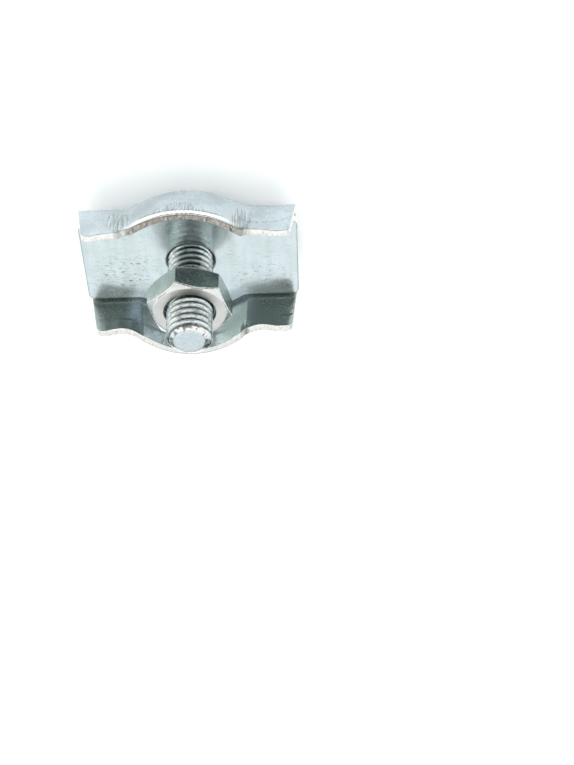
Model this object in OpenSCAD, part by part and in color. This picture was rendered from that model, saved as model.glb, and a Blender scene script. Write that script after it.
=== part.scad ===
// Single-bolt wire rope clip: a pressed channel, a flatter plate nested inside it, a hexagon head
// bolt and a thin nut. The bolt stands on its head, so its axis is +Z. The two rope lines run along
// X, one on each side of the bolt.

/* [Sheet metal] */
// Thickness of both pressed plates
sheet_t = 1.5; // [1.2:0.1:1.6]
// Diameter of the bolt hole in both plates
hole_d = 8.6; // [8.4:0.1:9]

/* [Outer plate] */
// Length of the channel's web along the rope lines
outer_length = 37.6; // [34:0.2:42]
// How much shorter the flanges are at their free edge, at each end
end_taper = 1.3; // [0:0.1:2]
// Half width over the straight ends of the channel, at the bend
channel_half_w = 11.5; // [11.5:0.1:13]
// Height of the flanges above the web's outer face, at the ends
flange_h = 8.7; // [8:0.05:11]
// How far the straight ends of the flanges lean outward at the free edge
end_lean = 1.65; // [0:0.05:2.5]
// Outside radius of the bend between web and flange
bend_r = 2; // [1.8:0.1:2]
// Radius of the flanges' corners, seen from the side
flange_corner_r = 1; // [0.5:0.1:2]
// Rounding of the free edge's outer corner
edge_round = 0.5; // [0.2:0.1:0.7]

/* [Bulge of the flanges round the bolt] */
// Outward bulge at the bend
root_bulge = 4.1; // [4.1:0.1:5]
// Radius of the bulge's crown at the bend
root_crown_r = 14; // [10:0.5:14]
// Radius of the hollow beside the bulge at the bend
root_hollow_r = 2.5; // [1:0.5:4]
// Angle between the bulge's sloping sides and the rope lines, at the bend
root_angle = 32; // [30:1:34]
// Outward bulge at the free edge
edge_bulge = 5.45; // [5.2:0.05:6]
// Radius of the bulge's crown at the free edge
edge_crown_r = 13.5; // [10:0.5:14]
// Radius of the hollow beside the bulge at the free edge
edge_hollow_r = 5.9; // [3:0.1:6]
// Angle between the bulge's sloping sides and the rope lines, at the free edge
edge_angle = 35.5; // [35:0.5:38]
// How far the bulge's middle is from the bolt's axis at the free edge, along X
edge_shift = -0.7; // [-1:0.1:1]
// How much higher the free edge stands at the crown than at the ends
crown_rise = 0.55; // [0:0.05:1]
// How much lower the free edge dips beside the bulge
hollow_dip = 0.5; // [0:0.05:0.6]

/* [Inner plate] */
// Length of the inner plate
inner_length = 37.8; // [34:0.2:42]
// Half width of the inner plate's straight ends
inner_half_w = 9.4; // [8.5:0.1:9.4]
// Bulge of the inner plate's edges
inner_bulge = 4; // [3.4:0.1:4]
// Radius of the inner bulge's crown
inner_crown_r = 11; // [9:0.5:12]
// Radius of the hollow beside the inner bulge
inner_hollow_r = 1.5; // [1:0.1:2]
// Angle between the inner bulge's sloping sides and the rope lines
inner_angle = 35; // [33:1:36]
// Radius of the inner plate's corners
inner_corner_r = 1.2; // [0.6:0.1:2]

/* [Bolt and nut] */
// Major diameter of the thread, as cut
thread_d = 7.96; // [7.8:0.02:7.98]
// Pitch of the thread
thread_pitch = 1.25; // [1:0.25:1.25]
// Width across the flats of the bolt's head and of the nut
across_flats = 13; // [12.7:0.1:13]
// Thickness of the bolt's head
head_h = 5.3; // [5:0.1:5.6]
// Length of the bolt under its head
bolt_length = 21.5; // [21:0.5:25]
// Length of the plain neck under the head
neck_length = 2.3; // [2:0.1:6]
// Depth of the chamfer at the tip, across the axis
tip_depth = 1.4; // [0.8:0.1:1.6]
// Length of the chamfer at the tip, along the axis
tip_run = 0.7; // [0.5:0.1:1.6]
// Thickness of the nut
nut_h = 4.7; // [4:0.1:5]
// Gap between the inner plate and the nut, as stored
nut_gap = 7.3; // [0.1:0.1:8]
// Angle from +X to the nut's first corner
nut_angle = -15; // [-30:0.5:30]
// Radial clearance of the nut's plain bore round the thread
nut_clearance = 0.05; // [0.02:0.01:0.1]

/* [Hidden] */
$fn = 96;

// Heights of the stacked pieces
inner_z = head_h + sheet_t;
nut_z = inner_z + sheet_t + nut_gap;
tip_z = head_h + bolt_length;

// A bulge of height h seen from above: a crown arc, a side sloping at the angle t and a hollow arc,
// which meet tangent to each other
function slope_run(h, crown, hollow, t) = (h - (crown + hollow) * (1 - cos(t))) / tan(t);
function bulge_reach(h, crown, hollow, t) = (crown + hollow) * sin(t) + slope_run(h, crown, hollow, t);
function bulge(x, h, crown, hollow, t) =
    let (
        a = abs(x),
        slope_start = crown * sin(t),
        slope_end = slope_start + slope_run(h, crown, hollow, t),
        reach = bulge_reach(h, crown, hollow, t)
    )
    a <= slope_start ? h - crown + sqrt(crown * crown - a * a)
    : a <= slope_end ? h - crown * (1 - cos(t)) - (a - slope_start) * tan(t)
    : a < reach ? hollow - sqrt(hollow * hollow - (reach - a) * (reach - a))
    : 0;

// Half width of the flanges' outer face at x, at the bend and at the free edge, and the slope of the first
function root_w(x) = channel_half_w + bulge(x, root_bulge, root_crown_r, root_hollow_r, root_angle);
function edge_bulge_at(x) = bulge(x - edge_shift, edge_bulge, edge_crown_r, edge_hollow_r, edge_angle);
function edge_w(x) = channel_half_w + end_lean + edge_bulge_at(x);
slope_step = 0.05;
function root_slope(x) = (root_w(x + slope_step) - root_w(x - slope_step)) / (2 * slope_step);

// Height of the free edge at x, with the dip beside the bulge and the round corner at each end
half_length = outer_length / 2;
dip_inset = 1;
dip_half_w = 3.5;
dip_x = bulge_reach(edge_bulge, edge_crown_r, edge_hollow_r, edge_angle) - dip_inset;
function corner_drop(x) =
    let (past = max(0, abs(x) - half_length + flange_corner_r))
    flange_corner_r - sqrt(flange_corner_r * flange_corner_r - past * past);
function dip(x) = max(0, 1 - pow((abs(x - edge_shift) - dip_x) / dip_half_w, 2));
function rise(x) = crown_rise * edge_bulge_at(x) / edge_bulge;
function edge_height(x) = flange_h + rise(x) - hollow_dip * dip(x) - corner_drop(x);

// One half of the channel's cross-section at x, from the bend's start on the outside, up the
// flange, over the free edge, which is cut level, and back down. Distances across the sheet are
// stretched where the flange runs at an angle to X.
bend_steps = 6;
round_steps = 3;
function half_section(x) =
    let (
        root = root_w(x),
        edge = edge_w(x),
        top = edge_height(x),
        stretch = sqrt(1 + pow(root_slope(x), 2)),
        lean = atan((edge - root) / (top - bend_r)),
        centre = root - stretch * bend_r,
        foot = [centre + stretch * bend_r * cos(lean), bend_r * (1 - sin(lean))],
        up = [edge, top] - foot,
        length = norm(up),
        inward = [-stretch / cos(lean), 0]
    )
    concat(
        [for (i = [0:bend_steps])
            let (a = -90 + (90 - lean) * i / bend_steps)
            [centre + stretch * bend_r * cos(a), bend_r * (1 + sin(a))]],
        [for (i = [0:round_steps])
            let (a = 90 * i / round_steps)
            foot + up * (1 - edge_round * (1 - sin(a)) / length) + inward * edge_round * (1 - cos(a))],
        [foot + up + inward * sheet_t],
        [for (i = [0:bend_steps])
            let (a = -lean - (90 - lean) * i / bend_steps, r = bend_r - sheet_t)
            [centre + stretch * r * cos(a), bend_r + r * sin(a)]]
    );

// The whole cross-section in space. The ends lean inward with height.
function station(x) =
    let (
        half = half_section(x),
        count = len(half),
        ring = concat(half, [for (i = [count - 1:-1:0]) [-half[i][0], half[i][1]]])
    )
    [for (p = ring) [x * (1 - end_taper * p[1] / flange_h / half_length), p[0], p[1] + head_h]];

station_step = 0.9;
mid_x = half_length - flange_corner_r;
mid_count = ceil(2 * mid_x / station_step);
corner_steps = [0.4, 0.75, 0.95, 1];
station_xs = concat(
    [for (i = [len(corner_steps) - 1:-1:0]) -mid_x - flange_corner_r * corner_steps[i]],
    [for (i = [0:mid_count]) -mid_x + 2 * mid_x * i / mid_count],
    [for (s = corner_steps) mid_x + flange_corner_r * s]
);

// A closed skin over a row of rings that all have the same number of points
module skin(rings) {
    n = len(rings[0]);
    last = len(rings) - 1;
    polyhedron(
        points = [for (ring = rings, p = ring) p],
        faces = concat(
            [for (r = [0:last - 1], i = [0:n - 1])
                [r * n + i, (r + 1) * n + i, (r + 1) * n + (i + 1) % n]],
            [for (r = [0:last - 1], i = [0:n - 1])
                [r * n + i, (r + 1) * n + (i + 1) % n, r * n + (i + 1) % n]],
            end_strip(n, 0, false),
            end_strip(n, last * n, true)
        )
    );
}

// Triangles across an end ring, between the outer and the inner surface of the sheet
function end_strip(n, first, flip) =
    let (
        half = n / 2,
        outer = bend_steps + 1 + round_steps + 1,
        outer_line = [for (i = [0:outer - 1]) i],
        inner_line = [for (i = [half - 1:-1:outer]) i],
        right = strip(outer_line, inner_line),
        left = [for (t = right) [n - 1 - t[0], n - 1 - t[2], n - 1 - t[1]]],
        web = [[0, half - 1, half], [0, half, n - 1]]
    )
    [for (t = concat(right, left, web)) [for (k = flip ? [0, 2, 1] : [0, 1, 2]) first + t[k]]];

// Triangles between two lines of points that start side by side
function strip(a, b) =
    let (na = len(a) - 1, nb = len(b) - 1)
    concat(
        [for (i = [0:na - 1]) [a[i], a[i + 1], b[min(i, nb)]]],
        [for (i = [0:nb - 1]) [a[min(i + 1, na)], b[i + 1], b[i]]]
    );

// A hexagon with its corners rounded off at the bevel's angle, at the bottom, at the top or at both
hex_r = across_flats / sqrt(3);
face_share = 0.96;
face_r = face_share * across_flats / 2;
bevel_angle = 30;
module hexagon(h, bottom, top) {
    bevel = (hex_r - face_r) * tan(bevel_angle);
    intersection() {
        cylinder(r = hex_r, h = h, $fn = 6);
        rotate_extrude()
            polygon([
                [0, 0],
                [bottom ? face_r : hex_r, 0],
                [hex_r, bottom ? bevel : 0],
                [hex_r, top ? h - bevel : h],
                [top ? face_r : hex_r, h],
                [0, h]
            ]);
    }
}

module outer_plate() {
    color("#b9c6cc")
        difference() {
            skin([for (x = station_xs) station(x)]);
            translate([0, 0, head_h - sheet_t])
                cylinder(d = hole_d, h = 3 * sheet_t);
        }
}

inner_end = inner_length / 2 - inner_corner_r;
outline_step = 0.45;
outline_count = ceil(2 * inner_end / outline_step);
corner_count = 5;
function inner_edge(x) = inner_half_w + bulge(x, inner_bulge, inner_crown_r, inner_hollow_r, inner_angle);

module inner_plate() {
    far_edge = [for (i = [0:outline_count])
        let (x = inner_end - 2 * inner_end * i / outline_count)
        [x, inner_edge(x)]];
    corner = [for (i = [1:corner_count])
        let (a = 90 + 90 * i / corner_count)
        [-inner_end + inner_corner_r * cos(a), inner_half_w - inner_corner_r * (1 - sin(a))]];
    mirrored = [for (i = [corner_count - 1:-1:0]) [-corner[i][0], corner[i][1]]];
    upper_half = concat(mirrored, far_edge, corner);
    color("#cfdbe1")
        translate([0, 0, inner_z])
            difference() {
                linear_extrude(height = sheet_t)
                    polygon(concat(upper_half, [for (p = upper_half) -p]));
                translate([0, 0, -sheet_t])
                    cylinder(d = hole_d, h = 3 * sheet_t);
            }
}

// The thread stands in as rings of the true depth, pitch and flank angle. Depth, flank and floor
// are shares of the pitch.
thread_r = thread_d / 2;
depth_share = 0.6134;
flank_share = 0.35;
floor_share = 0.2;
thread_depth = depth_share * thread_pitch;
flank = flank_share * thread_pitch;
groove_floor = floor_share * thread_pitch;
thread_start = head_h + neck_length;
ring_count = floor((tip_z - tip_run - thread_start) / thread_pitch);
function groove(z) = [
    [thread_r, z],
    [thread_r - thread_depth, z + flank],
    [thread_r - thread_depth, z + flank + groove_floor],
    [thread_r, z + 2 * flank + groove_floor]
];

module bolt() {
    color("#c3cdd0") {
        hexagon(head_h, true, false);
        rotate_extrude()
            polygon(concat(
                [[0, head_h / 2], [thread_r, head_h / 2]],
                [for (i = [0:ring_count - 1], p = groove(thread_start + i * thread_pitch)) p],
                [[thread_r, tip_z - tip_run], [thread_r - tip_depth, tip_z], [0, tip_z]]
            ));
    }
}

nut_bore_r = thread_r + nut_clearance;
countersink = 0.5;
overcut = 1;
module nut() {
    color("#aab5b2")
        translate([0, 0, nut_z])
            difference() {
                rotate([0, 0, nut_angle])
                    hexagon(nut_h, true, true);
                rotate_extrude()
                    polygon([
                        [0, -overcut],
                        [nut_bore_r + countersink + overcut, -overcut],
                        [nut_bore_r, countersink],
                        [nut_bore_r, nut_h - countersink],
                        [nut_bore_r + countersink + overcut, nut_h + overcut],
                        [0, nut_h + overcut]
                    ]);
            }
}

outer_plate();
inner_plate();
bolt();
nut();
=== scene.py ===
import math

import bmesh
import bpy
import numpy as np
from mathutils import Matrix, Vector


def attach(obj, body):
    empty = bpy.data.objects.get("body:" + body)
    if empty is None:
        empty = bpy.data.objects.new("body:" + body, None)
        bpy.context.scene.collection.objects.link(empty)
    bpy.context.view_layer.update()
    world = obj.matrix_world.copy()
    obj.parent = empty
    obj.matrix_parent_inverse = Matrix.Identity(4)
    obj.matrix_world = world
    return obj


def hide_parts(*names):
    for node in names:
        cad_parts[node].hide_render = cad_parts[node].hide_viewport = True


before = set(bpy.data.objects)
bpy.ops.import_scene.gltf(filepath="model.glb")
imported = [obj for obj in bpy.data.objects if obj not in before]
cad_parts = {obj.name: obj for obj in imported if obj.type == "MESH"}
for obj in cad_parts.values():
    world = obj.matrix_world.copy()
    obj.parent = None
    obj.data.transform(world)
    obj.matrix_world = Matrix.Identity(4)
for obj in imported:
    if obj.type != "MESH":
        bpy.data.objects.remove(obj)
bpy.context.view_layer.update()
MM = 0.001

# ---------------------------------------------------------------- sizes, in millimetres, as in the CAD

SHEET_T = 1.5
HOLE_R = 4.3
OUTER_HALF = 18.8
END_TAPER = 1.3
CHANNEL_HALF_W = 11.5
FLANGE_H = 8.7
END_LEAN = 1.65
BEND_R = 2.0
FLANGE_CORNER_R = 1.0
ROOT_BULGE = (4.1, 14.0, 2.5, math.radians(32))
EDGE_BULGE = (5.45, 13.5, 5.9, math.radians(35.5))
EDGE_SHIFT = -0.7
CROWN_RISE = 0.55
HOLLOW_DIP = 0.5
DIP_INSET = 1.0
DIP_HALF_W = 3.5
INNER_HALF = 18.9
INNER_HALF_W = 9.4
INNER_BULGE = (4.0, 11.0, 1.5, math.radians(35))
INNER_CORNER_R = 1.2
THREAD_R = 3.98
PITCH = 1.25
THREAD_DEPTH = 0.6134 * PITCH
APOTHEM = 6.5
FACE_R = 0.96 * APOTHEM
BEVEL = math.tan(math.radians(30))
HEAD_H = 5.3
BOLT_TIP = 26.8
TIP_DEPTH = 1.4
TIP_RUN = 0.7
THREAD_START = 7.6
NUT_H = 4.7
NUT_Z = 15.6
NUT_ANGLE = math.radians(-15)
INNER_Z = HEAD_H + SHEET_T


# ---------------------------------------------------------------- curves shared with the CAD

def bulge_reach(h, crown, hollow, t):
    return (crown + hollow) * math.sin(t) + (h - (crown + hollow) * (1 - math.cos(t))) / math.tan(t)


def bulge(x, h, crown, hollow, t):
    """Height at x of a bulge made of a crown arc, a sloping side and a hollow arc."""
    a = np.abs(x)
    reach = bulge_reach(h, crown, hollow, t)
    slope_start = crown * math.sin(t)
    slope_end = reach - hollow * math.sin(t)
    arc = h - crown + np.sqrt(np.maximum(crown ** 2 - np.minimum(a, slope_start) ** 2, 0))
    side = h - crown * (1 - math.cos(t)) - (a - slope_start) * math.tan(t)
    rest = np.clip(reach - a, 0, hollow)
    foot = hollow - np.sqrt(hollow ** 2 - rest ** 2)
    return np.where(a <= slope_start, arc, np.where(a <= slope_end, side, foot))


def root_w(x):
    return CHANNEL_HALF_W + bulge(x, *ROOT_BULGE)


def edge_w(x):
    return CHANNEL_HALF_W + END_LEAN + bulge(x - EDGE_SHIFT, *EDGE_BULGE)


def crown_share(x):
    """1 at the top of the bulge's free edge and 0 at the channel's straight ends."""
    return bulge(x - EDGE_SHIFT, *EDGE_BULGE) / EDGE_BULGE[0]


def edge_height(x):
    past = np.clip(np.abs(x) - OUTER_HALF + FLANGE_CORNER_R, 0, FLANGE_CORNER_R)
    corner_drop = FLANGE_CORNER_R - np.sqrt(np.maximum(FLANGE_CORNER_R ** 2 - past ** 2, 0))
    dip_x = bulge_reach(*EDGE_BULGE) - DIP_INSET
    dip = np.maximum(0, 1 - ((np.abs(x - EDGE_SHIFT) - dip_x) / DIP_HALF_W) ** 2)
    return FLANGE_H + CROWN_RISE * crown_share(x) - HOLLOW_DIP * dip - corner_drop


# ---------------------------------------------------------------- mesh helpers

SAME_POINT = 0.001


def smoothstep(a, b, x):
    t = np.clip((np.asarray(x, float) - a) / (b - a), 0, 1)
    return t * t * (3 - 2 * t)


def waves(x, y, seed, count=9, low=0.2, high=1.2):
    """Smooth, repeatable unevenness between about -1 and 1, from a sum of plane waves."""
    rng = np.random.default_rng(seed)
    total = np.zeros(np.broadcast(x, y).shape)
    for _ in range(count):
        size = rng.uniform(low, high)
        turn, phase = rng.uniform(0, 2 * math.pi, 2)
        total = total + np.sin(size * (x * math.cos(turn) + y * math.sin(turn)) * 2 * math.pi + phase)
    return total / math.sqrt(count) / 1.6


def grid_faces(first, rows, cols, wrap_rows, wrap_cols, flip=False):
    """Quads over a rows by cols block of vertices that starts at index first."""
    r = np.arange(rows if wrap_rows else rows - 1)
    c = np.arange(cols if wrap_cols else cols - 1)
    r, c = np.meshgrid(r, c, indexing="ij")
    r2, c2 = (r + 1) % rows, (c + 1) % cols
    quads = np.stack([r * cols + c, r * cols + c2, r2 * cols + c2, r2 * cols + c], -1).reshape(-1, 4) + first
    return quads[:, ::-1] if flip else quads


def fan_faces(centre, ring, flip=False):
    ring = list(ring)
    pairs = zip(ring, ring[1:] + ring[:1])
    return [(centre, b, a) if flip else (centre, a, b) for a, b in pairs]


def piece(name, node, body, verts_mm, faces, material, marks=None):
    """Makes a smooth mesh in the row frame that stands for a CAD node and rides on its body."""
    mesh = bpy.data.meshes.new(name)
    points = (np.asarray(verts_mm, float) * MM).tolist()
    mesh.from_pydata(points, [], [tuple(int(i) for i in f) for f in faces])
    shell = bmesh.new()
    shell.from_mesh(mesh)
    marks = marks or {}
    layers = {key: shell.verts.layers.float.new(key) for key in marks}
    shell.verts.ensure_lookup_table()
    for key, layer in layers.items():
        for vert, value in zip(shell.verts, marks[key]):
            vert[layer] = float(value)
    bmesh.ops.remove_doubles(shell, verts=shell.verts, dist=SAME_POINT * MM)
    bmesh.ops.recalc_face_normals(shell, faces=shell.faces)
    shell.to_mesh(mesh)
    shell.free()
    mesh.polygons.foreach_set("use_smooth", [True] * len(mesh.polygons))
    mesh.materials.append(material)
    obj = bpy.data.objects.new(name, mesh)
    bpy.context.scene.collection.objects.link(obj)
    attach(obj, body)
    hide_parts(node)
    return obj


# ---------------------------------------------------------------- outer plate

WEB_SQUARE = 5.95
WEB_CELLS = 20
SIDE_CELLS = 7
BEND_CELLS = 9
FLANGE_CELLS = 30
CAP_ROUND = 6
CAP_FLAT = 6
CAP_INNER = 3
STATION_STEP = 0.15
END_ROUND = 0.22
# dents of the bending tool in each flange, as (middle along X, half length, reach down from the free edge)
SCUFFS = ((-11.9, 2.0, 5.6), (-0.9, 4.0, 3.4), (9.9, 2.0, 5.2))
SCUFF_DEPTH = 0.03
# dents in the free edges of the +Y and -Y flanges, as (middle, half length, reach down, amount)
NICKS = {1: ((9.8, 0.9, 1.3, 0.5), (-12.3, 0.5, 0.9, 0.2)), -1: ((9.6, 0.45, 0.9, 0.2),)}
CREASE_DEPTH = 1.25
RIPPLE = 0.035
# points of the inner line, counted down from the free edge, that move with the dents
DENTED_INNER = 12


def half_section(x):
    """Outer line, cap over the free edge, inner line and the cap's core, in (y, z), of half the channel."""
    slope_step = 0.05
    root, edge, top = (float(f(x)) for f in (root_w, edge_w, edge_height))
    slope = float(root_w(x + slope_step) - root_w(x - slope_step)) / (2 * slope_step)
    stretch = math.sqrt(1 + slope ** 2)
    lean = math.atan((edge - root) / (top - BEND_R))
    centre = root - stretch * BEND_R
    inner_r = BEND_R - SHEET_T
    web_y = np.concatenate([np.linspace(0, WEB_SQUARE, WEB_CELLS + 1),
                            np.linspace(WEB_SQUARE, centre, SIDE_CELLS + 1)[1:]])
    angles = np.linspace(-math.pi / 2, -lean, BEND_CELLS + 1)[1:]
    inward = np.array([-stretch / math.cos(lean), 0])
    foot = np.array([centre + stretch * BEND_R * math.cos(lean), BEND_R * (1 - math.sin(lean))])
    inner_foot = np.array([centre + stretch * inner_r * math.cos(lean), BEND_R - inner_r * math.sin(lean)])
    up = np.array([edge, top]) - foot
    length = np.linalg.norm(up)
    up_unit = up / length
    share = float(crown_share(x))
    roll = 0.2 + 0.65 * share
    burr = 0.12
    head_outer = foot + up
    head_inner = head_outer + inward * SHEET_T

    def climb(start, end):
        t = np.linspace(0, 1, FLANGE_CELLS + 1)[1:, None]
        t = 1 - (1 - t) ** 1.25
        return start + (end - start) * t

    outer = np.concatenate([
        np.stack([web_y, 0 * web_y], 1),
        np.stack([centre + stretch * BEND_R * np.cos(angles), BEND_R * (1 + np.sin(angles))], 1),
        climb(foot, head_outer - up_unit * roll)])
    inner = np.concatenate([
        np.stack([web_y, 0 * web_y + SHEET_T], 1),
        np.stack([centre + stretch * inner_r * np.cos(angles), BEND_R + inner_r * np.sin(angles)], 1),
        climb(inner_foot, head_inner - up_unit * burr)])
    a = np.linspace(0, math.pi / 2, CAP_ROUND + 1)[1:, None]
    rolled = head_outer - up_unit * roll * (1 - np.sin(a)) + inward * roll * 0.8 * (1 - np.cos(a))
    flat = np.linspace(roll * 0.8, SHEET_T - burr, CAP_FLAT + 1)[1:, None]
    sheared = head_outer + inward * flat
    b = np.linspace(0, math.pi / 2, CAP_INNER + 1)[1:-1, None]
    burred = head_inner - up_unit * burr * (1 - np.cos(b)) - inward * burr * (1 - np.sin(b))
    cap = np.concatenate([rolled, sheared, burred])
    core = head_outer - up_unit * 0.75 + inward * 0.75
    return outer, cap, inner, core


def plate_scuffs(x, depth, seed):
    """Inward dents of the flange's outer face, where the bending tool gripped it, depth below its edge."""
    total = np.zeros_like(x)
    for centre, half, reach in SCUFFS:
        off = ((x - centre) / half) ** 2 + ((depth - 0.55 * reach) / (0.5 * reach)) ** 2
        within = np.exp(-off ** 2)
        lines = 0.5 + 0.5 * np.sin(2 * math.pi * (x / 0.8 + 0.12 * waves(x, depth, seed, low=0.1, high=0.4)))
        total = total + SCUFF_DEPTH * within * lines
    return total


def nick(x, depth, centre, half, reach, amount):
    """A small dent in the free edge."""
    return amount * np.exp(-((x - centre) / half) ** 2 - (np.maximum(depth, 0) / reach) ** 2)


def outer_stations():
    """Sections from one end to the other, as (x, how far the sheet's edges are rounded off there)."""
    corner = np.sin(np.linspace(0, math.pi / 2, 9))[1:]
    mid = OUTER_HALF - FLANGE_CORNER_R
    side_count = int(round((mid - WEB_SQUARE) / STATION_STEP))
    middle = np.linspace(0, WEB_SQUARE, int(round(WEB_SQUARE / STATION_STEP)) + 1)
    right = np.concatenate([middle, np.linspace(WEB_SQUARE, mid, side_count + 1)[1:],
                            mid + (FLANGE_CORNER_R - END_ROUND) * corner])
    half = [(x, 0.0) for x in right]
    for a in np.linspace(0, math.pi / 2, 5)[1:]:
        half.append((OUTER_HALF - END_ROUND * (1 - math.sin(a)), END_ROUND * (1 - math.cos(a))))
    return [(-x, d) for x, d in half[:0:-1]] + half


def without_square(faces, verts, cols):
    """The faces left when the square round the hole is cut out of the web's two sides."""
    half = cols // 2
    centre_x = verts[faces][:, :, 0].mean(1)
    col = faces % cols
    low_col, high_col = col.min(1), col.max(1)
    wrap = high_col - low_col > 2
    outer_web = (high_col <= WEB_CELLS) | (low_col >= cols - 1 - WEB_CELLS) & ~wrap | wrap
    inner_web = (low_col >= half - 1 - WEB_CELLS) & (high_col <= half + WEB_CELLS)
    in_square = np.abs(centre_x) < WEB_SQUARE
    return [tuple(f) for f in faces[~((outer_web | inner_web) & in_square)]]


def hole_loops(verts, stations, cols):
    """The square's boundary on the web's outer and inner side, as vertex numbers in order round the hole."""
    half = cols // 2
    xs = np.array([s[0] for s in stations])
    row_lo = int(np.argmin(np.abs(xs + WEB_SQUARE)))
    row_hi = int(np.argmin(np.abs(xs - WEB_SQUARE)))

    def boundary(plus_cols, minus_cols):
        across = list(minus_cols[::-1]) + list(plus_cols)
        loop = [row_lo * cols + c for c in across]
        loop += [r * cols + across[-1] for r in range(row_lo + 1, row_hi)]
        loop += [row_hi * cols + c for c in across[::-1]]
        loop += [r * cols + across[0] for r in range(row_hi - 1, row_lo, -1)]
        return loop

    web = range(0, WEB_CELLS + 1)
    outer_loop = boundary(list(web), [cols - 1 - i for i in web])
    inner_loop = boundary([half - 1 - i for i in web], [half + i for i in web])

    def unique(loop):
        kept = []
        for v in loop:
            if not kept or np.linalg.norm(verts[v] - verts[kept[-1]]) > 1e-6:
                kept.append(v)
        return kept

    return unique(outer_loop), unique(inner_loop)


def end_faces(rows, cols, n_out):
    """Faces that close the sheet's two ends, between the outer line, the cap and the inner line."""
    half = cols // 2
    faces = []
    for row, flip in ((0, False), (rows - 1, True)):
        base = row * cols
        for side in (0, 1):
            out_i = [base + (i if side == 0 else cols - 1 - i) for i in range(n_out)]
            in_i = [base + (half - 1 - i if side == 0 else half + i) for i in range(n_out)]
            cap_cells = range(half - 2 * n_out)
            cap_i = [base + (n_out + i if side == 0 else cols - 1 - n_out - i) for i in cap_cells]
            turn = flip == (side == 0)
            for i in range(n_out - 1):
                f = (out_i[i], out_i[i + 1], in_i[i + 1], in_i[i])
                faces.append(f if turn else f[::-1])
            f = tuple([out_i[-1]] + cap_i + [in_i[-1]])
            faces.append(f if turn else f[::-1])
        f = (base, base + half - 1, base + half, base + cols - 1)
        faces.append(f if not flip else f[::-1])
    return faces


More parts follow.
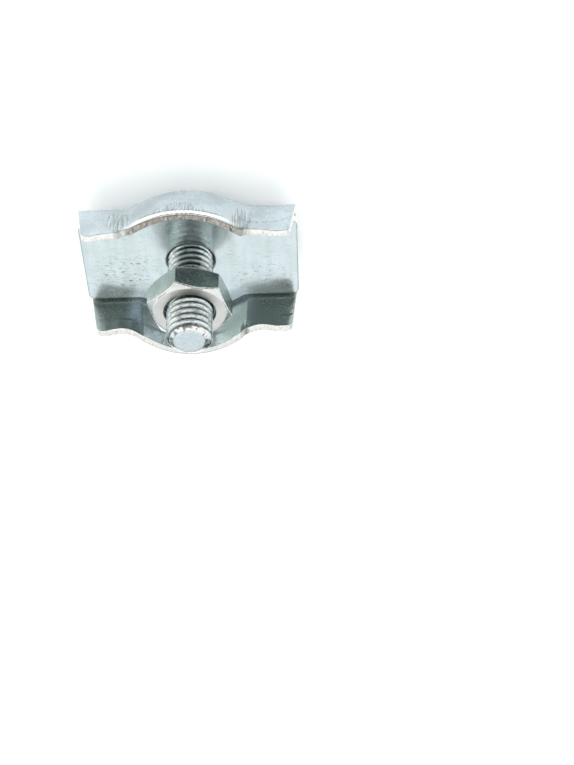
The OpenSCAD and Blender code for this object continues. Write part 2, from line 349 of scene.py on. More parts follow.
def build_outer_plate(material):
    stations = outer_stations()
    rings = []
    parts = {key: [] for key in ("shear", "scuff", "marks_and_painted_shade", "darker_cut", "rolled", "inside")}
    for x, inset in stations:
        outer, cap, inner, core = half_section(x)
        if inset:
            across = inner - outer
            across = across / np.linalg.norm(across, axis=1)[:, None]
            outer, inner = outer + across * inset, inner - across * inset
            to_core = core - cap
            cap = cap + to_core / np.linalg.norm(to_core, axis=1)[:, None] * inset
        n_out, n_cap = len(outer), len(cap)
        line = np.concatenate([outer, cap, inner[::-1]])
        top = float(edge_height(x))
        share = float(crown_share(x))
        halves = []
        for side in (1, -1):
            pts = line.copy()
            depth = top - pts[:, 1]
            on_outer = np.zeros(len(pts))
            flange_from = WEB_CELLS + SIDE_CELLS + BEND_CELLS
            on_outer[flange_from:n_out + CAP_ROUND] = 1
            xs = np.full(len(pts), x)
            push = on_outer * plate_scuffs(xs, depth, 5 if side > 0 else 6)
            near_top = np.zeros(len(pts))
            near_top[flange_from:n_out + n_cap + DENTED_INNER] = 1
            push = push + near_top * sum(nick(xs, depth, *shape) for shape in NICKS[side])
            crease = on_outer * smoothstep(0.55, 0.85, share) * np.exp(-((depth - CREASE_DEPTH) / 0.12) ** 2)
            push = push + 0.1 * crease
            ripple = RIPPLE * waves(xs * 0.8, pts[:, 0] * 0.5 + side * 40, 11, low=0.05, high=0.25)
            pts[:, 0] -= push + near_top * np.maximum(ripple + RIPPLE, 0) * smoothstep(2.0, 5.0, pts[:, 1])
            m = np.zeros(len(pts))
            m[n_out + CAP_ROUND - 2:n_out + n_cap] = 1
            m[n_out + CAP_ROUND - 3] = 0.5
            # Painted shade: a broken dark line along the crease below the free edge, and a painted shadow
            # line where the roll-over meets the cut face; on the +Y flange also dotted drag marks; painted
            # shade in the nicks' hollows on both flanges.
            marks_and_painted_shade = crease * (0.5 + 0.5 * np.sin(7.0 * x + 2.0 * math.sin(2.3 * x)))
            marks_and_painted_shade[n_out + CAP_ROUND - 2] = 1
            if side > 0:
                drag = 1.9 + 1.3 * ((x - 11) / 6) ** 2
                dots = 0.5 + 0.5 * math.sin(9.0 * x + 3.0 * math.sin(1.7 * x))
                trail = smoothstep(10.4, 11.2, x) * np.exp(-((depth - drag) / 0.13) ** 2)
                marks_and_painted_shade = marks_and_painted_shade + 0.8 * on_outer * dots * trail
                marks_and_painted_shade = marks_and_painted_shade + nick(x, np.abs(depth - 0.25), 10.1, 0.75, 0.4, 0.75)
                marks_and_painted_shade = marks_and_painted_shade + nick(x, depth, -12.1, 0.35, 0.45, 0.5)
            else:
                marks_and_painted_shade = marks_and_painted_shade + nick(x, depth, 9.8, 0.45, 0.7, 0.8)
            marks_and_painted_shade = np.clip(marks_and_painted_shade, 0, 1)
            # The cut edge's darker tone: rising towards the crown on the +Y flange, slight all along the -Y
            # flange.
            darker_cut = np.full(len(pts), float(smoothstep(0.05, 0.4, share)) if side > 0 else 0.12)
            # Painted highlight: white on the roll-over of the free edge and on the outer face just below it,
            # towards the crown.
            rolled = np.zeros(len(pts))
            rolled[n_out - 1:n_out + CAP_ROUND - 3] = 1
            near_edge = on_outer * smoothstep(1.15, 0.95, depth)
            rolled = np.maximum(rolled, near_edge) * smoothstep(0.1, 0.7, share)
            # Painted shade: the channel's inner faces are darker where the flanges run straight, away from
            # the bulge.
            inside = np.zeros(len(pts))
            inside[n_out + n_cap:] = 1 - smoothstep(0.02, 0.2, share)
            if inset > 0.6 * END_ROUND:
                m[:], darker_cut[:], marks_and_painted_shade[:], rolled[:] = 1, 0, 0, 0
            scuff = np.clip(push / SCUFF_DEPTH, 0, 1)
            halves.append((pts, {"shear": m, "scuff": scuff, "marks_and_painted_shade": marks_and_painted_shade, "darker_cut": darker_cut, "rolled": rolled,
                                 "inside": inside}))
        (plus, plus_marks), (minus, minus_marks) = halves
        ring = np.concatenate([plus, minus[::-1] * [-1, 1]])
        x_in = x * (1 - END_TAPER * ring[:, 1] / FLANGE_H / OUTER_HALF)
        rings.append(np.column_stack([x_in, ring[:, 0], ring[:, 1] + HEAD_H]))
        for key, rows_of_key in parts.items():
            rows_of_key.append(np.concatenate([plus_marks[key], minus_marks[key][::-1]]))
    rows, cols = len(rings), len(rings[0])
    verts = np.concatenate(rings)
    faces = without_square(grid_faces(0, rows, cols, False, True, flip=True), verts, cols)
    outer_loop, inner_loop = hole_loops(verts, stations, cols)
    edge_xy = verts[outer_loop][:, :2]
    angle = np.arctan2(edge_xy[:, 1], edge_xy[:, 0])
    circle = np.column_stack([np.cos(angle), np.sin(angle)])
    lip = 0.28
    profile = [(1.0, None, 0.0), (0.35, None, 0.0), (0.08, None, 0.0)]
    turns = np.linspace(0, math.pi / 2, 6)
    rounded = [(HOLE_R + lip * (1 - math.sin(a)), lip * (1 - math.cos(a))) for a in turns]
    profile += [(None, radius, z) for radius, z in rounded]
    profile += [(None, radius, SHEET_T - z) for radius, z in rounded[::-1]]
    profile += [(0.08, None, SHEET_T), (0.35, None, SHEET_T), (1.0, None, SHEET_T)]
    loops = [outer_loop]
    extra, extra_shear = [], []
    count = len(verts)
    for share, radius, z in profile[1:-1]:
        if radius is None:
            ring_xy = circle * (HOLE_R + lip) * (1 - share) + edge_xy * share
        else:
            ring_xy = circle * radius
        extra.append(np.column_stack([ring_xy, np.full(len(circle), HEAD_H + z)]))
        extra_shear.append(np.full(len(circle), 1.0 if radius is not None and radius < HOLE_R + 0.1 else 0.0))
        loops.append(list(range(count, count + len(circle))))
        count += len(circle)
    loops.append(inner_loop)
    for a, b in zip(loops, loops[1:]):
        n = len(a)
        faces += [(a[i], a[(i + 1) % n], b[(i + 1) % n], b[i]) for i in range(n)]
    verts = np.concatenate([verts] + extra)

    faces += end_faces(rows, cols, n_out)
    added = np.zeros(count - rows * cols)
    marks = {key: np.concatenate(rows_of_key + [added]) for key, rows_of_key in parts.items()}
    marks["shear"][rows * cols:] = np.concatenate(extra_shear)
    return piece("outer_plate_pressed", "outer_plate", "outer_plate", verts, faces,
                 material, marks)


# ---------------------------------------------------------------- inner plate

def inner_outline(spacing):
    """Points round the inner plate's edge, evenly spaced, and their outward normals."""
    end = INNER_HALF - INNER_CORNER_R
    x = np.linspace(end, -end, 1201)
    far = np.column_stack([x, INNER_HALF_W + bulge(x, *INNER_BULGE)])
    a = np.linspace(math.pi / 2, math.pi, 41)[1:]
    corner = np.column_stack([-end + INNER_CORNER_R * np.cos(a),
                              INNER_HALF_W - INNER_CORNER_R * (1 - np.sin(a))])
    half = np.concatenate([corner[::-1] * [-1, 1], far, corner])
    loop = np.concatenate([half, -half, half[:1]])
    along = np.concatenate([[0], np.cumsum(np.linalg.norm(np.diff(loop, axis=0), axis=1))])
    at = np.linspace(0, along[-1], int(along[-1] / spacing) + 1)[:-1]
    points = np.column_stack([np.interp(at, along, loop[:, 0]), np.interp(at, along, loop[:, 1])])
    tangent = np.roll(points, -1, 0) - np.roll(points, 1, 0)
    normal = np.column_stack([tangent[:, 1], -tangent[:, 0]])
    return points, normal / np.linalg.norm(normal, axis=1)[:, None]


def build_inner_plate(material):
    points, normals = inner_outline(0.16)
    angle = np.arctan2(points[:, 1], points[:, 0])
    circle = np.column_stack([np.cos(angle), np.sin(angle)])
    lip, roll, burr = 0.22, 0.3, 0.12
    rings, marks = [], []

    def add(xy, z, mark=0.0):
        rings.append(np.column_stack([xy, np.broadcast_to(z, len(xy))]))
        marks.append(np.full(len(xy), mark))

    # the rounded edges are cut metal where they are steep
    turns = [(1 - math.sin(a), 1 - math.cos(a), float(a > 1)) for a in np.linspace(0, math.pi / 2, 5)]
    spread = [0.03, 0.1, 0.2, 0.3, 0.4, 0.5, 0.6, 0.7, 0.8, 0.9, 0.96]
    for out, up, cut in turns[::-1]:
        add(circle * (HOLE_R + lip * out), SHEET_T - lip * up, cut)
    for s in spread:
        xy = circle * (HOLE_R + lip) * (1 - s) + (points - normals * roll) * s
        uneven = waves(xy[:, 0] * 0.7, xy[:, 1] * 0.7, 21, low=0.03, high=0.15)
        sink = 0.015 * (uneven - 1) * min(s, 1 - s) * 2.5
        add(xy, SHEET_T + np.minimum(sink, 0))
    for out, up, cut in turns:
        add(points - normals * roll * out, SHEET_T - roll * up, cut)
    for z in (0.9, 0.6, 0.3):
        add(points - normals * 0.012 * (1 + waves(points[:, 0], points[:, 1] + z, 23)[:, None]), z, 1.0)
    for out, up, cut in turns[::-1]:
        add(points - normals * burr * out, burr * up, 1.0)
    for s in spread[::-1]:
        add(circle * (HOLE_R + lip) * (1 - s) + (points - normals * burr) * s, 0.0)
    for out, up, cut in turns:
        add(circle * (HOLE_R + lip * out), lip * up, cut)
    verts = np.concatenate(rings) + [0, 0, INNER_Z]
    faces = grid_faces(0, len(rings), len(points), True, True)
    return piece("inner_plate_pressed", "inner_plate", "inner_plate", verts, faces,
                 material, {"shear": np.concatenate(marks)})


# ---------------------------------------------------------------- bolt and nut

CORNER_R = 0.25
THREAD_PHASE = 0.88
ROW_STEP = 0.05


def turn_angles(first_corner):
    """Angles of the columns round the axis, closer together at the hexagon's corners."""
    even = np.arange(0, 360, 2.5)
    close = np.array([-1.5, -1, -0.7, -0.35, 0.35, 0.7, 1, 1.5])
    extra = np.concatenate([60 * k + close for k in range(6)]) % 360
    return np.radians(np.sort(np.concatenate([even, extra]))) + first_corner


def hex_radius(angles, first_corner):
    """Distance from the axis to the hexagon's side, with its vertical edges rounded."""
    off = (angles - first_corner + math.pi / 6) % (math.pi / 3) - math.pi / 6
    flat = APOTHEM / np.cos(math.pi / 6 - np.abs(off))
    centre = (APOTHEM - CORNER_R) / math.cos(math.pi / 6)
    limit = math.pi / 6 - math.atan((APOTHEM - CORNER_R) * math.tan(math.pi / 6) / APOTHEM)
    arc = centre * np.cos(off) + np.sqrt(np.maximum(CORNER_R ** 2 - (centre * np.sin(off)) ** 2, 0))
    return np.where(np.abs(off) < limit, arc, flat)


def thread_table():
    """The groove's depth over one pitch, from 0 at the crest to 1 at the root, with rounded corners."""
    count = 512
    s = (np.arange(count) + 0.5) / count
    away = np.minimum(s, 1 - s)
    sharp = np.clip((away - 0.055) / 0.354, 0, 1)
    reach = int(0.045 * count)
    kernel = np.hanning(2 * reach + 1)
    kernel /= kernel.sum()
    return s, np.convolve(np.tile(sharp, 3), kernel, "same")[count:2 * count]


THREAD_S, THREAD_GROOVE = thread_table()


def thread_radius(angles, z):
    """Radius of the right-hand thread's surface at a height z, for each angle."""
    s = ((z - THREAD_START) / PITCH - angles / (2 * math.pi) - THREAD_PHASE) % 1
    return THREAD_R - THREAD_DEPTH * np.interp(s, THREAD_S, THREAD_GROOVE, period=1)


def hexagon_side(angles, first_corner, height, bevel_bottom, bevel_top):
    """Rings (radius, z) up the outside of a hexagon, from the bottom face's rim to the top face's rim."""
    side = hex_radius(angles, first_corner)
    drop = (side - FACE_R) * BEVEL
    flat = np.ones_like(angles)
    soft = 0.12
    rings = []
    if bevel_bottom:
        rings += [(flat * (FACE_R - 0.35), flat * 0), (flat * (FACE_R - soft), flat * 0),
                  (FACE_R + flat * 0.01, flat * 0.022), (FACE_R + flat * soft, flat * soft * BEVEL)]
        rings += [(FACE_R + (side - FACE_R) * t, drop * t) for t in (0.35, 0.6, 0.8)]
        rings += [(side - soft * 0.7, drop - soft * 0.7 * BEVEL), (side - 0.022, drop + 0.025),
                  (side, drop + soft)]
    else:
        rings += [(side - 0.4, flat * 0), (side - soft, flat * 0), (side - soft * 0.3, flat * soft * 0.3),
                  (side, flat * soft)]
    margin = soft + 0.2
    low = drop + margin
    high = height - margin - (drop if bevel_top else 0)
    rings += [(side, low + (high - low) * t) for t in (0, 0.25, 0.5, 0.75, 1)]
    if bevel_top:
        rings += [(side, height - drop - soft), (side - 0.022, height - drop - 0.025),
                  (side - soft * 0.7, height - drop + soft * 0.7 * BEVEL)]
        rings += [(FACE_R + (side - FACE_R) * t, height - drop * t) for t in (0.8, 0.6, 0.35)]
        rings += [(FACE_R + flat * soft, height - flat * soft * BEVEL),
                  (FACE_R + flat * 0.01, height - flat * 0.022),
                  (flat * (FACE_R - soft), flat * height), (flat * (FACE_R - 0.35), flat * height)]
    else:
        rings += [(side, height - flat * soft), (side - soft * 0.3, height - flat * soft * 0.3),
                  (side - soft, flat * height), (side - 0.4, flat * height)]
    return rings


def ring_points(angles, rings, lift):
    """Points of all rings (radius, z), ring after ring, raised by lift."""
    shells = [np.column_stack([r * np.cos(angles), r * np.sin(angles), lift + z]) for r, z in rings]
    return np.concatenate(shells)


def build_bolt(material):
    angles = turn_angles(0.0)
    flat = np.ones_like(angles)
    rings = [(flat * 1.0, flat * 0), (flat * 3.5, flat * 0)]
    rings += hexagon_side(angles, 0.0, HEAD_H, True, False)
    face_end = len(rings)
    fillet = 0.3
    rings += [(flat * (THREAD_R + fillet + 0.1), flat * HEAD_H)]
    rings += [(THREAD_R + flat * fillet * (1 - math.sin(a)), HEAD_H + flat * fillet * (1 - math.cos(a)))
              for a in np.linspace(0, math.pi / 2, 5)]
    rings += [(flat * THREAD_R, flat * z) for z in np.linspace(HEAD_H + 0.8, THREAD_START - 0.1, 8)]
    thread_from = len(rings)
    run_out = 0.8
    tip_start = BOLT_TIP - TIP_RUN
    end_r = THREAD_R - TIP_DEPTH
    heights = np.arange(THREAD_START, BOLT_TIP - 0.1, ROW_STEP)
    for z in heights:
        shown = float(smoothstep(THREAD_START, THREAD_START + run_out, z))
        radius = THREAD_R - (THREAD_R - thread_radius(angles, z)) * shown
        rings.append((np.minimum(radius, THREAD_R - max(0.0, z - tip_start) * TIP_DEPTH / TIP_RUN), flat * z))
    thread_to = len(rings)
    rings += [(flat * (end_r + 0.04), flat * (BOLT_TIP - 0.02)), (flat * (end_r - 0.08), flat * BOLT_TIP),
              (flat * (end_r - 0.3), flat * BOLT_TIP), (flat * 1.2, flat * BOLT_TIP)]
    verts = ring_points(angles, rings, 0.0)
    n = len(angles)
    tip = np.zeros(len(verts) + 2)
    tip[thread_to * n:] = 1
    tip[-1] = 1
    rim = np.zeros(len(verts) + 2)
    rim[(thread_to - int(round(TIP_RUN / ROW_STEP))) * n:thread_to * n] = 1
    head = np.zeros(len(verts) + 2)
    head[:face_end * n] = 1
    head[-2] = 1
    thread = np.zeros(len(verts) + 2)
    for i in range(thread_from, thread_to):
        thread[i * n:(i + 1) * n] = (THREAD_R - rings[i][0]) / THREAD_DEPTH
    verts = np.concatenate([verts, [[0, 0, 0], [0, 0, BOLT_TIP]]])
    faces = [tuple(f) for f in grid_faces(0, len(rings), n, False, True)]
    faces += fan_faces(len(verts) - 2, range(n), flip=True)
    faces += fan_faces(len(verts) - 1, range((len(rings) - 1) * n, len(rings) * n))
    return piece("bolt_threaded", "bolt", "bolt", verts, faces, material,
                 {"tip": tip, "head": head, "groove": thread, "rim": rim})


def build_nut(material):
    angles = turn_angles(NUT_ANGLE)
    flat = np.ones_like(angles)
    clearance, crest_r, countersink = 0.05, 3.36, 0.5
    rings = hexagon_side(angles, NUT_ANGLE, NUT_H, True, True)
    outside = len(rings)
    rim = THREAD_R + clearance + countersink
    rings += [(flat * (rim + 0.12), flat * NUT_H), (flat * (rim + 0.02), flat * (NUT_H - 0.02))]
    for z in np.arange(NUT_H - 0.05, 0.03, -ROW_STEP):
        thread = np.maximum(thread_radius(angles, NUT_Z + z) + clearance, crest_r)
        sink = rim - min(z, NUT_H - z)
        rings.append((np.maximum(thread, sink), flat * z))
    inside = len(rings)
    rings += [(flat * (rim + 0.02), flat * 0.02), (flat * (rim + 0.12), flat * 0)]
    verts = ring_points(angles, rings, NUT_Z)
    n = len(angles)
    bore = np.zeros(len(verts))
    bore[(outside + 2) * n:inside * n] = 1
    height = verts[:, 2] - NUT_Z
    face = np.where((height < 0.01) | (height > NUT_H - 0.01), 1.0, 0.0)
    # Rows of the chamfers, which get a painted highlight.
    bevel = np.zeros(len(verts))
    per_end = 9
    bevel[2 * n:per_end * n] = 1
    bevel[(outside - per_end) * n:(outside - 2) * n] = 1
    faces = grid_faces(0, len(rings), n, True, True)
    marks = {"bore": bore, "face": face, "bevel": bevel}
    return piece("nut_chamfered", "nut", "nut", verts, faces, material, marks)


# ---------------------------------------------------------------- materials

class Nodes:
    """Short names for building a material's nodes."""

    def __init__(self, name):
        self.material = bpy.data.materials.new(name)
        self.material.use_nodes = True
        self.tree = self.material.node_tree
        self.shader = self.tree.nodes["Principled BSDF"]
        self.shader.inputs["Metallic"].default_value = 1.0
        where = self.add("ShaderNodeTexCoord").outputs["Object"]
        scale = self.add("ShaderNodeVectorMath", operation="SCALE")
        self.link(where, scale.inputs[0])
        scale.inputs["Scale"].default_value = 1 / MM
        self.mm = scale.outputs[0]

    def add(self, kind, **settings):
        node = self.tree.nodes.new(kind)
        for key, value in settings.items():
            setattr(node, key, value)
        return node

    def link(self, a, b):
        self.tree.links.new(a, b)

    def put(self, value, socket):
        if isinstance(value, (int, float, tuple)):
            socket.default_value = value
        else:
            self.link(value, socket)

    def attribute(self, name):
        return self.add("ShaderNodeAttribute", attribute_name=name).outputs["Fac"]

    def stretched(self, scale, turn=(0.0, 0.0, 0.0), offset=(0.0, 0.0, 0.0)):
        node = self.add("ShaderNodeMapping")
        node.inputs["Scale"].default_value = scale
        node.inputs["Rotation"].default_value = tuple(math.radians(t) for t in turn)
        node.inputs["Location"].default_value = offset
        self.link(self.mm, node.inputs["Vector"])
        return node.outputs[0]

    def noise(self, scale, detail=3.0, vector=None, rough=0.5, warp=0.0):
        node = self.add("ShaderNodeTexNoise")
        self.link(vector or self.mm, node.inputs["Vector"])
        node.inputs["Scale"].default_value = scale
        node.inputs["Detail"].default_value = detail
        node.inputs["Roughness"].default_value = rough
        node.inputs["Distortion"].default_value = warp
        return node.outputs["Fac"]

    def band(self, value, low, high, to_low=0.0, to_high=1.0):
        node = self.add("ShaderNodeMapRange", interpolation_type="SMOOTHSTEP")
        inputs = {"Value": value, "From Min": low, "From Max": high, "To Min": to_low, "To Max": to_high}
        for key, given in inputs.items():
            self.put(given, node.inputs[key])
        return node.outputs["Result"]

    def math(self, operation, a, b):
        node = self.add("ShaderNodeMath", operation=operation)
        self.put(a, node.inputs[0])
        self.put(b, node.inputs[1])
        return node.outputs[0]

    def blend(self, a, b, share):
        """The mean of two values, with a given share of the first."""
        return self.math("ADD", self.math("MULTIPLY", a, share), self.math("MULTIPLY", b, 1 - share))

    def mix(self, share, a, b):
        node = self.add("ShaderNodeMix", data_type="RGBA")
        self.put(share, node.inputs[0])
        self.put(a, node.inputs[6])
        self.put(b, node.inputs[7])
        return node.outputs[2]

    def near(self, point, inner, outer):
        """1 within inner millimetres of a point, fading to 0 at outer."""
        node = self.add("ShaderNodeVectorMath", operation="DISTANCE")
        self.link(self.mm, node.inputs[0])
        node.inputs[1].default_value = point
        return self.band(node.outputs["Value"], inner, outer, 1.0, 0.0)

    def bump(self, *layers):
        """Layers are (height, distance in mm), from broad to fine."""
        normal = None
        for height, distance in layers:
            node = self.add("ShaderNodeBump")
            node.inputs["Distance"].default_value = distance * MM
            self.link(height, node.inputs["Height"])
            if normal is not None:
                self.link(normal, node.inputs["Normal"])
            normal = node.outputs[0]
        self.link(normal, self.shader.inputs["Normal"])

    def scratches(self, seed, length=6.0, amount=0.71):
        """Sparse straight scratches in three directions, about a given length in millimetres."""
        total = None
        for k, turn in enumerate((12, 63, -38)):
            place = (seed * 3.1 + k, k * 1.7, 0)
            vector = self.stretched((1.0 / length, 5.5, 1.0), (0, 0, turn + seed * 7), place)
            line = self.band(self.noise(1.0, 1.0, vector, warp=0.4), amount, amount + 0.05)
            total = line if total is None else self.math("MAXIMUM", total, line)
        return total

    def finish(self, colour, roughness):
        self.put(colour, self.shader.inputs["Base Color"])
        self.put(roughness, self.shader.inputs["Roughness"])
        return self.material


def plate_material(name, bright, dull, smooth, rough, seed, scratch_length):
    m = Nodes(name)
    cloud = m.noise(0.22, 4.0, m.stretched((1, 1, 1), offset=(seed, 0, 0)))
    grain = m.noise(2.4, 5.0)
    speck = m.band(m.noise(3.2, 2.0, m.stretched((1, 1, 1), offset=(0, seed, 0))), 0.69, 0.76)
    lines = m.scratches(seed, scratch_length)
    colour = m.mix(m.band(cloud, 0.35, 0.68), bright, dull)
    colour = m.mix(m.math("MULTIPLY", speck, 0.35), colour, (0.3, 0.31, 0.3, 1))
    colour = m.mix(m.math("MULTIPLY", lines, 0.25), colour, (0.5, 0.52, 0.52, 1))
    roughness = m.band(m.blend(cloud, grain, 0.7), 0.36, 0.66, smooth, rough)
    roughness = m.math("ADD", roughness, m.math("MULTIPLY", lines, 0.14))
    return m, colour, roughness, grain, lines


def sheared(m, colour, roughness):
    """Adds the torn look of a cut edge and, where marked, painted shade lines near it, and returns the new
    colour, roughness and bump height.
    """
    edge = m.band(m.attribute("shear"), 0.3, 0.8)
    torn = m.noise(1.0, 4.0, m.stretched((3.2, 1.2, 1.0)), rough=0.7)
    coarse = m.noise(0.5, 3.0, m.stretched((1.4, 0.4, 0.3), offset=(5, 0, 0)))
    pale = m.mix(m.band(torn, 0.3, 0.5), (0.55, 0.50, 0.46, 1), (0.90, 0.89, 0.87, 1))
    dark = m.mix(m.band(torn, 0.38, 0.62), (0.15, 0.135, 0.12, 1), (0.56, 0.53, 0.49, 1))
    dark = m.mix(m.band(coarse, 0.4, 0.6, 0.0, 0.6), dark, (0.28, 0.255, 0.23, 1))
    # Pale cut edge, turning to the darker tone where the plate's darker-tone mark rises.
    tone = m.mix(m.attribute("darker_cut"), pale, dark)
    colour = m.mix(edge, colour, tone)
    # Painted shade and painted shadow lines, with the drag marks, darken the colour here.
    colour = m.mix(m.math("MULTIPLY", m.attribute("marks_and_painted_shade"), 0.8), colour, (0.09, 0.08, 0.07, 1))
    m.link(m.band(edge, 0.0, 1.0, 0.96, 0.45), m.shader.inputs["Metallic"])
    blend = m.add("ShaderNodeMix", data_type="FLOAT")
    m.put(edge, blend.inputs[0])
    m.put(roughness, blend.inputs[2])
    m.put(m.band(torn, 0.3, 0.7, 0.28, 0.5), blend.inputs[3])
    return colour, blend.outputs[0], m.math("MULTIPLY", torn, edge)


def outer_material():
    m, colour, roughness, grain, lines = plate_material(
        "outer_plate_zinc_mat", (0.56, 0.64, 0.68, 1), (0.45, 0.52, 0.55, 1), 0.22, 0.34, 3, 4.0)
    scuff = m.attribute("scuff")
    patch = m.band(scuff, 0.02, 0.4)
    strokes = m.band(m.noise(1.0, 2.0, m.stretched((4.6, 0.3, 0.22)), warp=0.25), 0.42, 0.60)
    strokes = m.math("MULTIPLY", strokes, patch)
    glints = m.noise(1.0, 2.0, m.stretched((4.6, 0.3, 0.22), offset=(9, 4, 0)), warp=0.25)
    lit = m.math("MULTIPLY", m.band(glints, 0.5, 0.6), patch)
    colour = m.mix(m.math("MULTIPLY", strokes, 0.6), colour, (0.25, 0.26, 0.25, 1))
    colour = m.mix(m.math("MULTIPLY", lit, 0.45), colour, (0.90, 0.93, 0.93, 1))
    roughness = m.math("ADD", roughness, m.math("MULTIPLY", strokes, 0.1))
    # Painted shade: darker inner faces of the channel.
    colour = m.mix(m.math("MULTIPLY", m.attribute("inside"), 0.8), colour, (0.27, 0.325, 0.30, 1))
    # Painted highlight: the rolled free edge made white.
    colour = m.mix(m.attribute("rolled"), colour, (0.95, 0.96, 0.95, 1))
    colour, roughness, torn = sheared(m, colour, roughness)
    m.bump((m.noise(0.16, 2.0), 0.12), (strokes, 0.1), (torn, 0.16), (grain, 0.006), (lines, 0.008))
    return m.finish(colour, roughness)


def inner_material():
    m, colour, roughness, grain, lines = plate_material(
        "inner_plate_zinc_mat", (0.82, 0.89, 0.90, 1), (0.77, 0.84, 0.85, 1), 0.17, 0.26, 8, 1.8)
    handled = m.math("MAXIMUM", m.near((-11.5, -4.0, 8.3), 3.0, 8.0),
                     m.math("MULTIPLY", m.near((12.0, -5.0, 8.3), 2.0, 7.0), 0.5))
    rash = m.noise(1.0, 3.0, m.stretched((1.1, 2.3, 1.0), (0, 0, 25)), rough=0.65, warp=0.8)
    pits = m.math("MULTIPLY", m.band(rash, 0.605, 0.655), handled)
    colour = m.mix(m.math("MULTIPLY", pits, 0.75), colour, (0.22, 0.22, 0.21, 1))
    roughness = m.math("ADD", roughness, m.math("MULTIPLY", pits, 0.25))
    drawn = m.band(m.noise(1.0, 3.0, m.stretched((1.1, 0.12, 1.0), offset=(2, 0, 0))), 0.35, 0.65)
    colour = m.mix(m.math("MULTIPLY", drawn, 0.35), colour, (0.66, 0.75, 0.76, 1))
    colour, roughness, torn = sheared(m, colour, roughness)
    m.bump((m.noise(0.22, 2.0), 0.05), (torn, 0.14), (pits, 0.02), (grain, 0.004), (lines, 0.006))
    return m.finish(colour, roughness)


def bolt_material():
    m = Nodes("bolt_zinc_mat")
    cloud = m.noise(0.5, 4.0)
    grain = m.noise(4.0, 4.0)
    lay = m.noise(1.0, 3.0, m.stretched((0.4, 0.4, 9.0)))
    colour = m.mix(m.band(cloud, 0.35, 0.65), (0.90, 0.93, 0.93, 1), (0.76, 0.80, 0.80, 1))
    # Painted shade: darker in the thread's grooves.
    painted_groove_shade = m.band(m.attribute("groove"), 0.25, 0.8)
    colour = m.mix(m.math("MULTIPLY", painted_groove_shade, 0.9), colour, (0.10, 0.12, 0.115, 1))
    runs = m.noise(1.0, 3.0, m.stretched((1.3, 1.3, 0.5), offset=(3, 1, 0)), rough=0.6, warp=0.5)
    streak = m.band(runs, 0.52, 0.62)
    colour = m.mix(m.math("MULTIPLY", streak, 0.55), colour, (0.22, 0.25, 0.25, 1))
    broken = m.band(m.noise(0.9, 3.0, rough=0.55, warp=0.6), 0.42, 0.5)
    chipped = m.mix(broken, (0.30, 0.31, 0.31, 1), (0.97, 0.97, 0.96, 1))
    colour = m.mix(m.attribute("rim"), colour, chipped)
    tip = m.attribute("tip")
    frost = m.noise(2.6, 5.0, rough=0.65)
    pale = m.mix(m.band(frost, 0.35, 0.65), (0.90, 0.96, 0.99, 1), (0.72, 0.81, 0.84, 1))
    colour = m.mix(tip, colour, pale)
    roughness = m.band(m.blend(cloud, lay, 0.5), 0.35, 0.65, 0.08, 0.2)
    roughness = m.math("ADD", roughness, m.math("MULTIPLY", tip, 0.25))
    m.bump((m.math("MULTIPLY", frost, tip), 0.05), (lay, 0.012), (grain, 0.006))
    return m.finish(colour, roughness)


def nut_material():
    m = Nodes("nut_zinc_mat")
    cloud = m.noise(0.35, 4.0)
    grain = m.noise(3.0, 5.0)
    turned = m.noise(1.0, 2.0, m.stretched((0.5, 0.5, 6.0)))
    colour = m.mix(m.band(cloud, 0.35, 0.65), (0.56, 0.61, 0.58, 1), (0.44, 0.50, 0.47, 1))
    face = m.attribute("face")
    # Painted highlight: the chamfers made near white.
    lip = m.band(m.attribute("bevel"), 0.3, 0.9)
    colour = m.mix(lip, colour, (0.93, 0.93, 0.91, 1))
    colour = m.mix(face, colour, (0.86, 0.83, 0.80, 1))
    speck = m.band(m.noise(2.8, 2.0), 0.66, 0.74)
    colour = m.mix(m.math("MULTIPLY", speck, 0.4), colour, (0.35, 0.36, 0.34, 1))
    bore = m.attribute("bore")
    colour = m.mix(m.math("MULTIPLY", bore, 0.5), colour, (0.3, 0.31, 0.3, 1))
    roughness = m.band(m.blend(cloud, grain, 0.6), 0.38, 0.62, 0.16, 0.30)
    roughness = m.math("ADD", roughness, m.math("MULTIPLY", face, 0.16))
    lines = m.scratches(5, 3.0)
    m.bump((m.noise(0.3, 2.0), 0.06), (turned, 0.01), (grain, 0.01), (lines, 0.01))
    return m.finish(colour, roughness)


def floor_material():
    m = Nodes("floor_mat")
    m.shader.inputs["Metallic"].default_value = 0.0
    tint = m.mix(m.band(m.noise(0.004, 2.0), 0.3, 0.7), (0.93, 0.935, 0.94, 1), (0.92, 0.925, 0.93, 1))
    return m.finish(tint, 0.8)


# ---------------------------------------------------------------- camera, lights and floor

def add_camera():
    at = Vector((0.0179, 0.2200, 0.2113))
    aim = Vector((0.01614, -0.03038, 0.0120))
    roll = math.radians(178.54)
    data = bpy.data.cameras.new("camera")
    data.lens = 80
    data.sensor_width = 36
    data.clip_start = 0.01
    data.clip_end = 20
    camera = bpy.data.objects.new("camera", data)
    turn = (aim - at).to_track_quat("-Z", "Y").to_matrix() @ Matrix.Rotation(roll, 3, "Z")
    camera.matrix_world = Matrix.Translation(at) @ turn.to_4x4()
    bpy.context.scene.collection.objects.link(camera)
    bpy.context.scene.camera = camera


def add_area(name, at, aim, size, power, colour, seen_in_metal):
    data = bpy.data.lights.new(name, "AREA")
    data.shape = "RECTANGLE"
    data.size, data.size_y = size
    data.energy = power
    data.color = colour
    light = bpy.data.objects.new(name, data)
    light.location = at
    light.rotation_euler = (Vector(aim) - Vector(at)).to_track_quat("-Z", "Y").to_euler()
    light.visible_glossy = seen_in_metal
    bpy.context.scene.collection.objects.link(light)


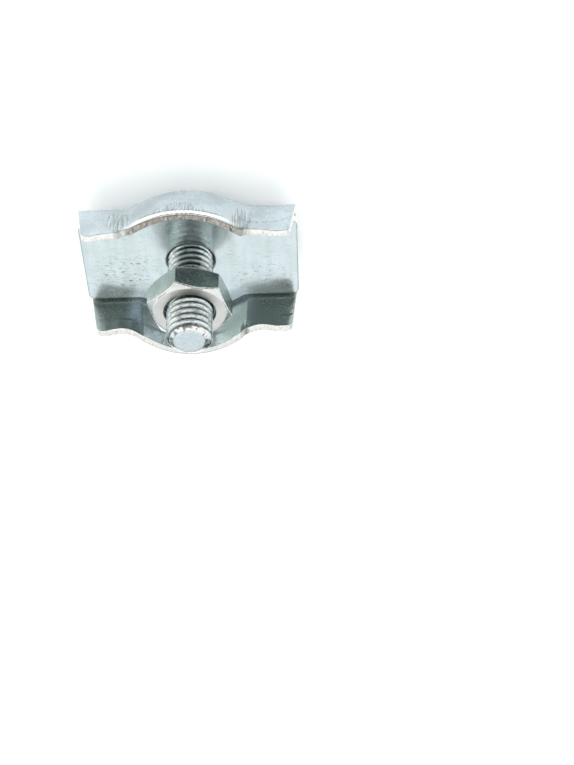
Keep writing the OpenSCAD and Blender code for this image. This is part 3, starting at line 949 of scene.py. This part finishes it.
def facing(tree, direction, towards, low, high, to_low, to_high):
    """A value that changes smoothly as a direction turns towards a given one."""
    dot = tree.nodes.new("ShaderNodeVectorMath")
    dot.operation = "DOT_PRODUCT"
    tree.links.new(direction, dot.inputs[0])
    dot.inputs[1].default_value = Vector(towards).normalized()
    patch = tree.nodes.new("ShaderNodeMapRange")
    patch.interpolation_type = "SMOOTHSTEP"
    for key, value in (("From Min", low), ("From Max", high), ("To Min", to_low), ("To Max", to_high)):
        patch.inputs[key].default_value = value
    tree.links.new(dot.outputs["Value"], patch.inputs["Value"])
    return patch.outputs["Result"]


def add_world():
    world = bpy.data.worlds.new("studio")
    bpy.context.scene.world = world
    world.use_nodes = True
    tree = world.node_tree
    where = tree.nodes.new("ShaderNodeTexCoord").outputs["Generated"]
    split = tree.nodes.new("ShaderNodeSeparateXYZ")
    tree.links.new(where, split.inputs[0])

    # dark behind the camera, in a patch that is wider along X
    narrowed = tree.nodes.new("ShaderNodeVectorMath")
    narrowed.operation = "MULTIPLY"
    tree.links.new(where, narrowed.inputs[0])
    narrowed.inputs[1].default_value = (0.5, 1.0, 1.0)
    unit = tree.nodes.new("ShaderNodeVectorMath")
    unit.operation = "NORMALIZE"
    tree.links.new(narrowed.outputs[0], unit.inputs[0])
    shade = facing(tree, unit.outputs[0], (0, 0.75, 0.66), 0.80, 0.92, 1.0, 0.12)
    tree.links.new(shade, tree.nodes["Background"].inputs["Strength"])

    # from dark below the horizon to pale above, with a bright patch low on the -X side
    ramp = tree.nodes.new("ShaderNodeValToRGB")
    stops = ((0.0, (0.09, 0.12, 0.10)), (0.28, (0.17, 0.22, 0.19)), (0.46, (0.62, 0.69, 0.70)),
             (0.62, (0.88, 0.94, 0.97)), (0.85, (0.94, 0.97, 0.97)), (1.0, (1.0, 1.0, 0.98)))
    while len(ramp.color_ramp.elements) < len(stops):
        ramp.color_ramp.elements.new(0.5)
    for element, (place, colour) in zip(ramp.color_ramp.elements, stops):
        element.position = place
        element.color = (*colour, 1)
    tree.links.new(split.outputs["Z"], ramp.inputs[0])
    glow = facing(tree, where, (-0.85, 0.44, 0.31), 0.78, 0.95, 0.0, 1.0)
    blend = tree.nodes.new("ShaderNodeMix")
    blend.data_type = "RGBA"
    tree.links.new(glow, blend.inputs[0])
    tree.links.new(ramp.outputs[0], blend.inputs[6])
    blend.inputs[7].default_value = (0.93, 1.0, 0.86, 1)
    tree.links.new(blend.outputs[2], tree.nodes["Background"].inputs["Color"])

    # seen directly, past the floor's edge, the backdrop is plain and pale
    backdrop = tree.nodes.new("ShaderNodeBackground")
    backdrop.inputs["Color"].default_value = (0.93, 0.94, 0.945, 1)
    path = tree.nodes.new("ShaderNodeLightPath")
    pick = tree.nodes.new("ShaderNodeMixShader")
    tree.links.new(path.outputs["Is Camera Ray"], pick.inputs[0])
    tree.links.new(tree.nodes["Background"].outputs[0], pick.inputs[1])
    tree.links.new(backdrop.outputs[0], pick.inputs[2])
    tree.links.new(pick.outputs[0], tree.nodes["World Output"].inputs["Surface"])


def add_floor():
    mesh = bpy.data.meshes.new("floor")
    half, z = 3.0, -0.00002
    corners = [(-half, -half, z), (half, -half, z), (half, half, z), (-half, half, z)]
    mesh.from_pydata(corners, [], [(0, 1, 2, 3)])
    mesh.materials.append(floor_material())
    floor = bpy.data.objects.new("floor", mesh)
    bpy.context.scene.collection.objects.link(floor)


add_camera()
build_outer_plate(outer_material())
build_inner_plate(inner_material())
build_bolt(bolt_material())
build_nut(nut_material())
add_floor()
add_world()
add_area("front", (0.0, 1.0, 0.6), (0, 0, 0), (1.2, 0.9), 18.0, (1.0, 0.99, 0.98), False)
add_area("overhead", (0.0, 0.0, 1.2), (0, 0, 0), (1.6, 1.6), 8.0, (1.0, 0.99, 0.98), False)
bpy.context.scene.view_settings.view_transform = "Standard"
